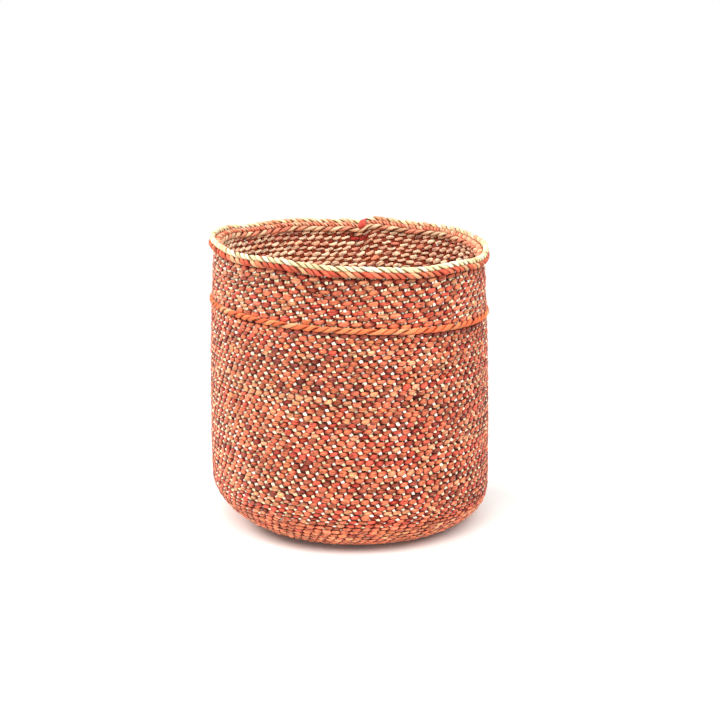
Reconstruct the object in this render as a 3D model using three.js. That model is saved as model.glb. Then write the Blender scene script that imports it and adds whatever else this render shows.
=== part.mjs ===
// Round hand-twined reed basket, open at the top, standing on its flat bottom.
// Millimetres, +Z up, origin at the centre of the bottom.
//
// Stakes run out from a crossing in the middle of the base, turn up through the
// heel and stop under the rim. Twined wefts hold them from both sides: one layer
// of rounds lies outside the stakes and one inside. A ridge cord runs round the
// outside below the collar, and four rings finish the rim.

import * as THREE from 'three';

// Outline of the outside
const BASKET_HEIGHT = 221;
const BELLY_RADIUS = 109.5;
const NECK_RADIUS = 104;
const BASE_RADIUS = 75;
const HEEL_HEIGHT = 42;
const HEEL_FULLNESS = 2.2;

// Layers of the wall
const WEFT_THICKNESS = 1.6;
const STAKE_THICKNESS = 1.4;
const CLEARANCE = 0.3;

// Stakes, which lie in pairs: a pair is this wide at the belly, and it narrows
// towards the crossing
const STAKE_PAIRS = 92;
const STAKE_PAIR_WIDTH = 4.4;
const CROSSING_RADIUS = 18;

// Lashing that binds the crossing, above and below
const LASHING_RADIUS = 12;

// Collar, from the middle of the ridge cord to the rim, and the cord itself
const COLLAR_HEIGHT = 38;
const RIDGE_CORD_HEIGHT = 3.9;
const RIDGE_PROUD = 1.9;

// Rings of the rim
const CREST_ROPE_WIDTH = 7.6;
const CREST_ROPE_HEIGHT = 4.8;
const OUTER_ROPE_WIDTH = 5.7;
const OUTER_ROPE_HEIGHT = 5.5;
const INNER_ROPE_WIDTH = 3.2;
const INNER_ROPE_HEIGHT = 4;
const CORE_WIDTH = 2;
const ROPE_ROUNDING = 0.29;

// Number of bands of rounds, and of straight stretches in the outline
const BASE_BANDS = 2;
const HEEL_BANDS = 2;
const WALL_BANDS = 4;
const COLLAR_BANDS = 2;
const BASE_STRETCHES = 1;
const HEEL_STRETCHES = 4;
const WALL_STRETCHES = 2;
const COLLAR_STRETCHES = 1;
const SIDES_AROUND = 36;

// Colours of the reed
const NATURAL_REED = 0xd8c398;
const PALE_REED = 0xeadfb4;
const RIDGE_ORANGE = 0xee7b4a;
const RIM_CORAL = 0xdd6450;
const LASHING_CORAL = 0xe07f5c;
const OUTER_CORALS = {
  base: [0xe07f5c, 0xe58a60],
  heel: [0xea8a5c, 0xdf7c58],
  wall: [0xc9654f, 0xdf8a66, 0xe07f5c, 0xd27058],
  collar: [0xd96f57, 0xdf8a66],
};
const INNER_CORALS = {
  base: [0xc97a60, 0xd18a6c],
  heel: [0xc97a60, 0xbf7460],
  wall: [0xb96a55, 0xc97a60, 0xd18a6c, 0xc97a60],
  collar: [0xd59a7c, 0xd18a6c],
};

// Roughness of the finishes
const NATURAL_ROUGHNESS = 0.8;
const DYED_ROUGHNESS = 0.75;
const ROPE_ROUGHNESS = 0.7;

// Depths below the outside surface
const stakeOuterDepth = WEFT_THICKNESS + CLEARANCE;
const stakeInnerDepth = stakeOuterDepth + STAKE_THICKNESS;
const innerWeftDepth = stakeInnerDepth + CLEARANCE;
const wallThickness = innerWeftDepth + WEFT_THICKNESS;

// Heights in the rim
const ringStackTop = BASKET_HEIGHT - CREST_ROPE_HEIGHT - CLEARANCE;
const ringStackFloor = ringStackTop - OUTER_ROPE_HEIGHT;
const neckHeight = ringStackFloor - CLEARANCE;
const ridgeHeight = neckHeight - COLLAR_HEIGHT;

// Corners of the outline, by number
const baseCorner = BASE_STRETCHES;
const heelCorner = baseCorner + HEEL_STRETCHES;
const ridgeCorner = heelCorner + WALL_STRETCHES;
const neckCorner = ridgeCorner + COLLAR_STRETCHES;

// The heel is a quarter of a superellipse, from the flat bottom to the wall.
function heelPoint(share) {
  const turn = share * Math.PI / 2;
  const power = 2 / HEEL_FULLNESS;
  const across = Math.max(0, Math.sin(turn)) ** power;
  const up = 1 - Math.max(0, Math.cos(turn)) ** power;
  const radius = BASE_RADIUS + (BELLY_RADIUS - BASE_RADIUS) * across;
  return new THREE.Vector2(radius, HEEL_HEIGHT * up);
}

// The wall draws in from the belly to the neck along a parabola.
function wallPoint(height) {
  const share = (height - HEEL_HEIGHT) / (neckHeight - HEEL_HEIGHT);
  const radius = BELLY_RADIUS - (BELLY_RADIUS - NECK_RADIUS) * share ** 2;
  return new THREE.Vector2(radius, height);
}

// Outline of the outside, as (radius, height), from the axis to the neck.
function outline() {
  const points = [];
  for (let i = 0; i < BASE_STRETCHES; i += 1) {
    points.push(new THREE.Vector2(BASE_RADIUS * i / BASE_STRETCHES, 0));
  }
  for (let i = 0; i <= HEEL_STRETCHES; i += 1) {
    points.push(heelPoint(i / HEEL_STRETCHES));
  }
  for (let i = 1; i <= WALL_STRETCHES; i += 1) {
    points.push(wallPoint(HEEL_HEIGHT + (ridgeHeight - HEEL_HEIGHT) * i / WALL_STRETCHES));
  }
  for (let i = 1; i <= COLLAR_STRETCHES; i += 1) {
    points.push(wallPoint(ridgeHeight + COLLAR_HEIGHT * i / COLLAR_STRETCHES));
  }
  return points;
}

const outside = outline();

// Normal of one stretch of the outline, out of the basket.
function stretchNormal(index) {
  const along = outside[index + 1].clone().sub(outside[index]).normalize();
  return new THREE.Vector2(along.y, -along.x);
}

// The outline moved inwards by a depth, so that layers stay parallel.
function layer(depth) {
  return outside.map((point, i) => {
    const before = stretchNormal(Math.max(i - 1, 0));
    const after = stretchNormal(Math.min(i, outside.length - 2));
    const mitre = before.clone().add(after).divideScalar(1 + before.dot(after));
    return point.clone().addScaledVector(mitre, -depth);
  });
}

// A place on a layer: its whole part is a corner, the rest a share of a stretch.
function layerPoint(points, place) {
  const corner = Math.min(Math.floor(place), points.length - 2);
  return points[corner].clone().lerp(points[corner + 1], place - corner);
}

// The place of a radius on the flat bottom of a layer.
function basePlace(points, radius) {
  return baseCorner * radius / points[baseCorner].x;
}

// The points of a layer from one place to another, shortened at both ends so
// that neighbouring runs keep the clearance.
function layerRun(depth, from, to) {
  const points = layer(depth);
  const run = [layerPoint(points, from)];
  for (let corner = Math.floor(from) + 1; corner < to; corner += 1) {
    run.push(points[corner].clone());
  }
  run.push(layerPoint(points, to));
  const last = run.length - 1;
  const startWay = run[1].clone().sub(run[0]).normalize();
  const endWay = run[last - 1].clone().sub(run[last]).normalize();
  run[0].addScaledVector(startWay, CLEARANCE / 2);
  run[last].addScaledVector(endWay, CLEARANCE / 2);
  return run;
}

// A closed ring turned about Z from a section that runs anticlockwise.
function ring(section) {
  const closed = [...section, section[0]];
  return new THREE.LatheGeometry(closed, SIDES_AROUND).rotateX(Math.PI / 2);
}

// A ring of weft rounds, one weft thick, whose outer side lies at a depth.
function weftRing(depth, from, to) {
  const outer = layerRun(depth, from, to);
  const inner = layerRun(depth + WEFT_THICKNESS, from, to);
  return ring([...outer, ...inner.reverse()]);
}

// Section of a rope: a box with its corners taken off.
function ropeSection(innerRadius, outerRadius, low, high) {
  const cut = ROPE_ROUNDING * Math.min(outerRadius - innerRadius, high - low);
  return [
    new THREE.Vector2(innerRadius + cut, low),
    new THREE.Vector2(outerRadius - cut, low),
    new THREE.Vector2(outerRadius, low + cut),
    new THREE.Vector2(outerRadius, high - cut),
    new THREE.Vector2(outerRadius - cut, high),
    new THREE.Vector2(innerRadius + cut, high),
    new THREE.Vector2(innerRadius, high - cut),
    new THREE.Vector2(innerRadius, low + cut),
  ];
}

// A point at a turn about Z, on the flat sides that the rings have.
function onSides(point, turn) {
  const side = 2 * Math.PI / SIDES_AROUND;
  const intoSide = turn - Math.floor(turn / side) * side - side / 2;
  const radius = point.x * Math.cos(side / 2) / Math.cos(intoSide);
  return new THREE.Vector3(radius * Math.sin(turn), -radius * Math.cos(turn), point.y);
}

// The points of a pair of stakes along one depth, from the crossing to the neck.
function stakeRun(depth) {
  const points = layer(depth);
  const start = basePlace(points, CROSSING_RADIUS);
  return [layerPoint(points, start), ...points.slice(Math.floor(start) + 1)];
}

// All stakes as one body: flat ribs that meet in the crossing.
function stakeFrame() {
  const corners = [];
  const face = (...points) => {
    for (let i = 1; i < points.length - 1; i += 1) {
      corners.push(points[0], points[i], points[i + 1]);
    }
  };
  const outer = stakeRun(stakeOuterDepth);
  const inner = stakeRun(stakeInnerDepth);
  const under = new THREE.Vector3(0, 0, outer[0].y);
  const over = new THREE.Vector3(0, 0, inner[0].y);
  const pitch = 2 * Math.PI / STAKE_PAIRS;
  const half = STAKE_PAIR_WIDTH / BELLY_RADIUS / 2;
  for (let pair = 0; pair < STAKE_PAIRS; pair += 1) {
    const left = (pair + 0.5) * pitch - half;
    const right = left + 2 * half;
    const next = left + pitch;
    const a = outer.map((point) => onSides(point, left));
    const b = outer.map((point) => onSides(point, right));
    const c = inner.map((point) => onSides(point, right));
    const d = inner.map((point) => onSides(point, left));
    for (let i = 0; i < outer.length - 1; i += 1) {
      face(a[i], b[i], b[i + 1], a[i + 1]);
      face(d[i], d[i + 1], c[i + 1], c[i]);
      face(b[i], c[i], c[i + 1], b[i + 1]);
      face(d[i], a[i], a[i + 1], d[i + 1]);
    }
    const end = outer.length - 1;
    face(a[end], b[end], c[end], d[end]);
    const nextOuter = onSides(outer[0], next);
    const nextInner = onSides(inner[0], next);
    face(b[0], nextOuter, nextInner, c[0]);
    face(under, b[0], a[0]);
    face(under, nextOuter, b[0]);
    face(over, d[0], c[0]);
    face(over, c[0], nextInner);
  }
  return new THREE.BufferGeometry().setFromPoints(corners);
}

// A flat disc of lashing on the axis, between two heights.
function lashing(low, high) {
  const section = [
    new THREE.Vector2(0, low),
    new THREE.Vector2(LASHING_RADIUS, low),
    new THREE.Vector2(LASHING_RADIUS, high),
    new THREE.Vector2(0, high),
  ];
  return new THREE.LatheGeometry(section, SIDES_AROUND).rotateX(Math.PI / 2);
}

// The ridge cord lies on the stakes, in the slot between two outside rings.
function ridgeCord() {
  const radius = outside[ridgeCorner].x;
  const low = ridgeHeight - RIDGE_CORD_HEIGHT / 2;
  const high = ridgeHeight + RIDGE_CORD_HEIGHT / 2;
  return ring(ropeSection(radius - WEFT_THICKNESS, radius + RIDGE_PROUD, low, high));
}

const basket = new THREE.Group();

function addPiece(name, geometry, color, roughness) {
  geometry.computeVertexNormals();
  const material = new THREE.MeshStandardMaterial({ color, roughness, metalness: 0 });
  const mesh = new THREE.Mesh(geometry, material);
  mesh.name = name;
  basket.add(mesh);
}

// Equal bands of rounds between two places on the outside of the stakes, and
// as many between two places on the inside.
function addBands(name, count, outerPlaces, innerPlaces) {
  const placeOf = (places, band) => places[0] + (places[1] - places[0]) * band / count;
  const toneOf = (tones, band) => tones[band % tones.length];
  for (let band = 0; band < count; band += 1) {
    const outerFrom = placeOf(outerPlaces, band);
    const outerTo = placeOf(outerPlaces, band + 1);
    const innerFrom = placeOf(innerPlaces, band);
    const innerTo = placeOf(innerPlaces, band + 1);
    const outer = weftRing(0, outerFrom, outerTo);
    const inner = weftRing(innerWeftDepth, innerFrom, innerTo);
    const outerTone = toneOf(OUTER_CORALS[name], band);
    const innerTone = toneOf(INNER_CORALS[name], band);
    addPiece(`${name}_weft_outer_${band + 1}`, outer, outerTone, DYED_ROUGHNESS);
    addPiece(`${name}_weft_inner_${band + 1}`, inner, innerTone, DYED_ROUGHNESS);
  }
}

const lashingInner = lashing(innerWeftDepth, wallThickness);

addPiece('stake_frame', stakeFrame(), NATURAL_REED, NATURAL_ROUGHNESS);
addPiece('start_lashing_outer', lashing(0, WEFT_THICKNESS), LASHING_CORAL, DYED_ROUGHNESS);
addPiece('start_lashing_inner', lashingInner, LASHING_CORAL, DYED_ROUGHNESS);

// Outside, the rounds leave a slot for the ridge cord.
const slotHalf = (RIDGE_CORD_HEIGHT + CLEARANCE) / 2;
const wallStretch = outside[ridgeCorner].distanceTo(outside[ridgeCorner - 1]);
const collarStretch = outside[neckCorner].distanceTo(outside[ridgeCorner]);
const slotBottom = ridgeCorner - slotHalf / wallStretch;
const slotTop = ridgeCorner + slotHalf / collarStretch;

const basePlaces = [basePlace(outside, LASHING_RADIUS + CLEARANCE / 2), baseCorner];
const heelPlaces = [baseCorner, heelCorner];

addBands('base', BASE_BANDS, basePlaces, basePlaces);
addBands('heel', HEEL_BANDS, heelPlaces, heelPlaces);
addBands('wall', WALL_BANDS, [heelCorner, slotBottom], [heelCorner, ridgeCorner]);
addBands('collar', COLLAR_BANDS, [slotTop, neckCorner], [ridgeCorner, neckCorner]);

addPiece('ridge_cord', ridgeCord(), RIDGE_ORANGE, ROPE_ROUGHNESS);

// The rim: a core on the ends of the stakes, a rope on each side of it, and the
// crest rope on top of them.
const stakeMiddle = (stakeOuterDepth + stakeInnerDepth) / 2;
const coreRadius = layer(stakeMiddle)[neckCorner].x;
const coreInner = coreRadius - CORE_WIDTH / 2;
const coreOuter = coreRadius + CORE_WIDTH / 2;
const outerRopeInner = coreOuter + CLEARANCE;
const outerRopeOuter = outerRopeInner + OUTER_ROPE_WIDTH;
const innerRopeOuter = coreInner - CLEARANCE;
const innerRopeInner = innerRopeOuter - INNER_ROPE_WIDTH;
const crestRadius = (coreInner + outerRopeOuter) / 2;
const crestInner = crestRadius - CREST_ROPE_WIDTH / 2;
const crestOuter = crestRadius + CREST_ROPE_WIDTH / 2;
const innerRopeTop = ringStackFloor + INNER_ROPE_HEIGHT;
const crestFloor = ringStackTop + CLEARANCE;

const coreSection = [
  new THREE.Vector2(coreInner, ringStackFloor),
  new THREE.Vector2(coreOuter, ringStackFloor),
  new THREE.Vector2(coreOuter, ringStackTop),
  new THREE.Vector2(coreInner, ringStackTop),
];
const outerRope = ropeSection(outerRopeInner, outerRopeOuter, ringStackFloor, ringStackTop);
const innerRope = ropeSection(innerRopeInner, innerRopeOuter, ringStackFloor, innerRopeTop);
const crestRope = ropeSection(crestInner, crestOuter, crestFloor, BASKET_HEIGHT);

addPiece('rim_core', ring(coreSection), NATURAL_REED, NATURAL_ROUGHNESS);
addPiece('rim_outer_rope', ring(outerRope), RIM_CORAL, ROPE_ROUGHNESS);
addPiece('rim_inner_rope', ring(innerRope), RIM_CORAL, ROPE_ROUGHNESS);
addPiece('rim_crest_rope', ring(crestRope), PALE_REED, ROPE_ROUGHNESS);

export default basket;
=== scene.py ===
import math
from collections import namedtuple

import bpy
import numpy as np
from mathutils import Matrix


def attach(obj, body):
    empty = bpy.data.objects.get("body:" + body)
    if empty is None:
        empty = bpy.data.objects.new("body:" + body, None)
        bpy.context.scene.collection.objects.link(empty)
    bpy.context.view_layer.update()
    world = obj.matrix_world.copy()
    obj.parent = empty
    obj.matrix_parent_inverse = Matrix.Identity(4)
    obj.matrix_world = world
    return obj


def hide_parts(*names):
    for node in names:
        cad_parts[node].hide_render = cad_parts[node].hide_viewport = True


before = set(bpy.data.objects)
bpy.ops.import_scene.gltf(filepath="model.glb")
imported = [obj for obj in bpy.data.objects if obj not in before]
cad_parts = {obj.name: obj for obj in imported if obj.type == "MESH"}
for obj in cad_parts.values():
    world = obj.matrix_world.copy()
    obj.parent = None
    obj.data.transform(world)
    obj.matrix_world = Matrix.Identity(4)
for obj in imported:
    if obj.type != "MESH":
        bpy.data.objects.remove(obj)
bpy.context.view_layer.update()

# Round hand-twined basket, in metres. A place on it is given by its way, which runs along the outline from
# the middle of the bottom to the rim, by its turn about Z, which is 0 at the front and grows to the
# right, and by its depth below the outside. Every round, stake and rope goes through by_hand, so they
# stay together where the basket isn't quite round.

MM = 0.001
FULL_TURN = 2 * math.pi
BODY = "root"

# Stitches in a round, on the bottom from the middle outwards, then as (rounds, stitches)
BODY_STITCHES = 92
COLLAR_STITCHES = 78
LASHING_ZONE = (2, 12)
BASE_ZONES = [(4, 24), (6, 46), (5, BODY_STITCHES)]
HEEL_ROUNDS = 16
WALL_ROUNDS = 30
COLLAR_ROUNDS = 9
WALL_FADE = 0.07

# Strands: how thick they are and how far they swing through the wall
STITCH_STEPS = 8
STEP_WARP = 0.5
STRAND_CORNERS = 8
STRAND_THICKNESS = 1.6 * MM
CROSSING_THICKNESS = 2.4 * MM
SWING = 1.75 * MM
ROUND_UNEVEN = 0.07

# Shape of a stitch in the open and in the closed weave, in shares of its round's height: how tall it is in
# the middle and at its ends, how far it climbs along its length and how much more right at its ends,
# and how tall its inside is
BODY_STITCH = [(0.91, 0.44, 0.02, 0.14, 0.75), (0.98, 0.7, 0.02, 0.1, 0.9)]
COLLAR_STITCH = [(0.91, 0.44, 0.02, 0.14, 0.71)] * 2
START_STITCH = [(1.1, 0.6, 0.1, 0.1, 1.0)] * 2
INSIDE_SLOPE = 0.23
BLUNT = 0.75
INSIDE_BLUNT = 1.2
REED_CORNERS = 0.65

# How a strand passes through the wall: the outside is longer by these overlaps, and these powers of the
# way to the middle of the stitch bring it out to the one face and in to the other
OVERLAP = 0.06
CLOSED_OVERLAP = 0.08
OUTSIDE_POWER = 0.5
INSIDE_POWER = 0.23

# The weave is closed below the first of these heights and open above the second
CLOSED_HEIGHTS = (14 * MM, 32 * MM)

# How unlike each other strands and stitches are: in height, depth, turn, slope and place on the wall
REED_UNEVEN = 0.06
TALL_UNEVEN = 0.12
DEPTH_UNEVEN = 0.16 * MM
TURN_UNEVEN = 0.08
SLOPE_UNEVEN = 0.04
PLACE_UNEVEN = 0.055
TALL_LIMITS = (0.75, 1.25)

# Painted shade in the gaps: from which depth below either face it starts, how fast, and over what depth
SHADE_FROM = 0.15 * MM
SHADE_CLOSED = 0.12 * MM
SHADE_RATE = 1.45
INSIDE_SHADE_FROM = 0.25 * MM
INSIDE_SHADE_RATE = 0.4
SHADE_DEPTH = 0.85 * MM

# Stakes between the two faces of the weave
STAKE_WIDTH = 3.1 * MM
COLLAR_STAKE_WIDTH = 2.35 * MM
STAKE_THICKNESS = 1.9 * MM
STAKE_BOW = 1.0 * MM
STAKE_SQUEEZE = 0.35 * MM
STAKE_GAP = 0.05 * MM
STAKE_FILL = 1.08
STAKE_OUTWARDS = 0.2 * MM
STAKE_UNEVEN = 0.1
STAKE_WIDTHS = (0.85, 1.3)
BOW_UNEVEN = 0.5
BOW_CLOSED = 0.8
STAKE_END = 3 * MM
# A stake's colour on its inward side is times this, which makes its painted shade there lighter
STAKE_INSIDE = 2.3
# The painted shade of a stake where it shows and elsewhere, past 0 and 1 so that the change between is short
STAKE_LIGHT = -1.1
STAKE_SHADE = 1.25

# Lean of the stakes: stitches gained for each round going up, left below the ridge and right above it
HEEL_LEAN = -0.16
WALL_LEAN = -0.1
COLLAR_LEAN = 0.07

# How much longer than the mean a stitch is in front, and shorter at the left
BODY_LONG_FRONT = -0.03
COLLAR_LONG_FRONT = 0.07
RIM_LONG_FRONT = 0.03
SHORT_LEFT = 0.04

# What hands did: the slope of the rounds, the way the bottom sits, and the wave and dip of the rim
TILT = 0.046
TILT_HEIGHT = 40 * MM
BASE_SHIFT = 5.2 * MM
SIDE_LIFT = 2.0 * MM
FRONT_LIFT = 1.5 * MM
OUT_OF_ROUND = 0.7 * MM
WAVER = 0.45 * MM
WAVER_WAY = 30 * MM
LEFT_BULGE = 2.6 * MM
RIM_WAVES = 0.5 * MM
RIM_BACK_RISE = 3.0 * MM
RIM_LIFT = 4.0 * MM
RIM_LIFT_TURNS = (1.0, 2.95)
RIM_LIFT_WIDTHS = (1.0, 0.35)
RIM_LEFT_LIFT = 1.8 * MM
RIM_LEFT_TURN = 4.75
RIM_LEFT_WIDTH = 0.4
RIM_DIP = 3.4 * MM
RIM_DIP_TURN = math.pi - 0.078
RIM_DIP_WIDTH = 0.075
SPLICE_TURN = math.pi - 0.1

HEEL_FULLNESS = 2.2

# Dyes of the reed, as (red, green, blue) of 255
DYES = {
    "coral": (228, 121, 87),
    "orange": (229, 129, 88),
    "tan": (229, 151, 110),
    "red": (210, 91, 70),
    "rust": (197, 105, 76),
    "maroon": (153, 75, 59),
}
PALE_REEDS = [(252, 248, 230), (248, 240, 208), (245, 234, 194), (238, 219, 174)]
# A pale tan, which stitches that show inside go towards: partly faded dye, partly painted light on the inside
PALE_TAN = (255, 224, 188)

rng = np.random.default_rng(7)


def linear(color):
    """A colour of 255 in the linear values that shaders use."""
    share = np.asarray(color, float) / 255
    return np.where(share <= 0.04045, share / 12.92, ((share + 0.055) / 1.055) ** 2.4)


def smooth(share):
    """0 below 0, 1 above 1, and 3 s^2 - 2 s^3 between them."""
    share = np.clip(share, 0, 1)
    return share * share * (3 - 2 * share)


# Sizes that the frame holds

TOP_REACH = 0.3 * MM


def corner_points(node):
    """Every corner point of a CAD node, one (x, y, z) a row."""
    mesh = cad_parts[node].data
    points = np.empty(3 * len(mesh.vertices))
    mesh.vertices.foreach_get("co", points)
    return points.reshape(-1, 3)


def ring_size(node):
    """Inner radius, outer radius, lowest and highest point of a CAD ring."""
    x, y, z = corner_points(node).T
    radius = np.hypot(x, y)
    return radius.min(), radius.max(), z.min(), z.max()


def top_corner(node):
    """Radius and height of the outer corner at the top of a CAD ring."""
    x, y, z = corner_points(node).T
    at_top = z > z.max() - TOP_REACH
    return np.hypot(x, y)[at_top].max(), z.max()


base_radius = ring_size("base_weft_outer_2")[1]
belly_radius, heel_height = top_corner("heel_weft_outer_2")
neck_radius, neck_height = top_corner("collar_weft_outer_2")
lashing_radius = ring_size("start_lashing_outer")[1]
wall_thickness = ring_size("base_weft_inner_1")[3]
ridge_ring = ring_size("ridge_cord")
outer_ring = ring_size("rim_outer_rope")
inner_ring = ring_size("rim_inner_rope")
crest_ring = ring_size("rim_crest_rope")
core_ring = ring_size("rim_core")
ridge_height = (ridge_ring[2] + ridge_ring[3]) / 2
ridge_half = (ridge_ring[3] - ridge_ring[2]) / 2


def basket_outline(samples=1500):
    """The outside, cut through the axis, as arrays: way, radius, height and the normal (out, up).
    The bottom is flat. The heel is a quarter of a superellipse, with across = sin(a)^(2/n) and
    up = 1 - cos(a)^(2/n). The wall is a parabola: belly - (belly - neck) * share^2."""
    flat = np.linspace(0, base_radius, samples, endpoint=False)
    angle = np.linspace(0, math.pi / 2, samples, endpoint=False)
    share = np.linspace(0, 1, samples)
    power = 2 / HEEL_FULLNESS
    heel_radius = base_radius + (belly_radius - base_radius) * np.sin(angle) ** power
    heel_rise = heel_height * (1 - np.cos(angle) ** power)
    wall_radius = belly_radius - (belly_radius - neck_radius) * share**2
    wall_rise = heel_height + (neck_height - heel_height) * share
    radius = np.concatenate([flat, heel_radius, wall_radius])
    height = np.concatenate([0 * flat, heel_rise, wall_rise])
    steps = np.hypot(np.diff(radius), np.diff(height))
    way = np.concatenate([[0], np.cumsum(steps)])
    across, up = np.gradient(radius), np.gradient(height)
    length = np.hypot(across, up)
    return way, radius, height, up / length, -across / length


OUT_WAY, OUT_RADIUS, OUT_HEIGHT, NORMAL_OUT, NORMAL_UP = basket_outline()
heel_way = base_radius
wall_way = np.interp(heel_height, OUT_HEIGHT, OUT_WAY)
ridge_way = np.interp(ridge_height, OUT_HEIGHT, OUT_WAY)
neck_way = OUT_WAY[-1]


def uneven(turn, long_front):
    """Turns of evenly spaced stitches, moved so that they are longer in front by the share long_front and
    shorter at the left by SHORT_LEFT: turn + long_front sin - SHORT_LEFT cos."""
    return turn + long_front * np.sin(turn) - SHORT_LEFT * np.cos(turn)


def rim_wave(turn):
    """How far the rim stands above its level: two fine waves, a rise towards the back, a lift from the
    right round to the back, a smaller lift at the left and a dip beside the splice, both as exp(-s^2)."""
    turn = np.mod(turn, FULL_TURN)
    waves = RIM_WAVES * (np.sin(5 * turn + 3.6) + np.sin(9 * turn + 0.1))
    rise = RIM_BACK_RISE * (1 - np.cos(turn)) / 2
    grown, gone = ((turn - at) / width for at, width in zip(RIM_LIFT_TURNS, RIM_LIFT_WIDTHS))
    lift = RIM_LIFT * smooth(grown) * (1 - smooth(gone))
    lift = lift + RIM_LEFT_LIFT * np.exp(-(((turn - RIM_LEFT_TURN) / RIM_LEFT_WIDTH) ** 2))
    dip = RIM_DIP * np.exp(-(((turn - RIM_DIP_TURN) / RIM_DIP_WIDTH) ** 2))
    return waves + rise + lift - dip


def by_hand(radius, turn, height):
    """Places of a round and level basket, moved as a hand-made one is.
    The radius swings by OUT_OF_ROUND in two and three lobes, and the heel bulges at the left by LEFT_BULGE,
    most where it is half way up, as 4 s (1 - s). The bottom sits BASE_SHIFT to the right, and its edge
    lifts by FRONT_LIFT in front and behind and by SIDE_LIFT at the sides, as the radius^4 up to that edge.
    The rounds drop by TILT for each step to the right, and from the ridge up the rim's wave grows."""
    rise = height / neck_height
    lobes = np.sin(2 * turn - 0.5 - rise) + 0.6 * np.sin(3 * turn + 2 - 2 * rise)
    radius = radius + OUT_OF_ROUND * lobes * smooth(4 * rise) * radius / belly_radius
    in_heel = 1 - smooth(height / heel_height)
    left = np.clip(-np.sin(turn), 0, 1) ** 2
    radius = radius + LEFT_BULGE * left * 4 * in_heel * (1 - in_heel) * smooth(radius / base_radius)
    x = radius * np.sin(turn) + BASE_SHIFT * in_heel
    y = -radius * np.cos(turn)
    near_rim = smooth((height - ridge_height) / (neck_height - ridge_height))
    share = radius / base_radius
    bow = np.minimum(share, 1) ** 4 * np.maximum(share, 1) ** 2 * in_heel
    lift = (FRONT_LIFT + (SIDE_LIFT - FRONT_LIFT) * np.sin(turn) ** 2) * bow
    z = height + lift - TILT * x * smooth(height / TILT_HEIGHT) + near_rim * rim_wave(turn)
    return np.stack([x, y, np.maximum(z, 0)], axis=-1)


def on_wall(way, turn, depth):
    """Places on the wall: the outline at that way, moved in along its normal, and turned about Z. Above
    the neck a way goes straight up."""
    radius = np.interp(way, OUT_WAY, OUT_RADIUS) - depth * np.interp(way, OUT_WAY, NORMAL_OUT)
    height = np.interp(way, OUT_WAY, OUT_HEIGHT) - depth * np.interp(way, OUT_WAY, NORMAL_UP)
    return by_hand(radius, turn, height + np.maximum(way - neck_way, 0))


# Meshes

MAP_NAME = "OFBake"
ROW_MARGIN = 0.04
# Millimetres by which the grain of one strand is moved against that of others
GRAIN_SHIFT = 20


def tubes(points, closed):
    """Faces of tubes, as (vertex of each face corner, corners of each face, map place of each face corner),
    for points[tube, step, corner]. Each face joins two neighbours round a step to those of the next
    step. Closed tubes bite their own tail, and open ones get a flat cap at both ends. A map place is
    (cell, across, up): each step of each tube and each cap has a cell of its own, one unit in size."""
    count, steps, corners = points.shape[:3]
    index = np.arange(count * steps * corners).reshape(count, steps, corners)
    here = index if closed else index[:, :-1]
    there = np.roll(index, -1, axis=1) if closed else index[:, 1:]
    quads = np.stack([here, there, np.roll(there, -1, axis=2), np.roll(here, -1, axis=2)], axis=-1)
    loops = [quads.reshape(-1)]
    sizes = [np.full(quads.size // 4, 4)]
    cells = count * here.shape[1]
    cell = np.arange(cells)[:, None, None]
    up = (np.arange(corners)[:, None] + [0, 0, 1, 1]) / corners
    places = [np.stack(np.broadcast_arrays(cell, [0, 1, 1, 0], up), axis=-1).reshape(-1, 3)]
    if not closed:
        caps = np.concatenate([index[:, 0], index[:, -1, ::-1]])
        loops.append(caps.reshape(-1))
        sizes.append(np.full(len(caps), corners))
        cell = cells + np.arange(len(caps))[:, None]
        angle = np.arange(corners) * FULL_TURN / corners
        round_cap = np.broadcast_arrays(cell, 0.5 + 0.4 * np.cos(angle), 0.5 + 0.4 * np.sin(angle))
        places.append(np.stack(round_cap, axis=-1).reshape(-1, 3))
    return np.concatenate(loops), np.concatenate(sizes), np.concatenate(places)


def laid_out(places, points):
    """A map (u, v) with the cells of places side by side in rows, which leave a little room between them.
    A row is as much higher than a cell is wide as the first tubes' girth is longer than their steps."""
    step = np.linalg.norm(np.diff(points, axis=1), axis=-1).mean()
    girth = points.shape[2] * np.linalg.norm(points - np.roll(points, 1, axis=2), axis=-1).mean()
    cell, across, up = places.T
    cells = int(cell.max()) + 1
    width = math.ceil(math.sqrt(cells * girth / step))
    row, column = np.divmod(cell, width)
    height = ROW_MARGIN + (1 - 2 * ROW_MARGIN) * up
    return np.stack([(column + across) / width, (row + height) / math.ceil(cells / width)], axis=-1)


def tube_run(points, closed, dye, grain, painted_shade):
    """A run of tubes as new_piece takes it: points[tube, step, corner, xyz], with a linear dye, a grain
    (along, across and into the reed, in millimetres) and a painted shade, which goes from 0 for the plain
    dye to 1 for the full colour of painted shade, for each point."""
    shape = points.shape[:3]
    dye = np.broadcast_to(dye, shape + (3,))
    return {
        "points": points,
        "closed": closed,
        "dye": np.concatenate([dye, np.ones(shape + (1,))], axis=-1),
        "grain": np.stack(np.broadcast_arrays(*grain), axis=-1).reshape(shape + (3,)),
        "painted_shade": np.broadcast_to(painted_shade, shape),
    }


def new_object(name, data):
    """An object that holds the data, in the scene."""
    made = bpy.data.objects.new(name, data)
    bpy.context.scene.collection.objects.link(made)
    return made


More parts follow.
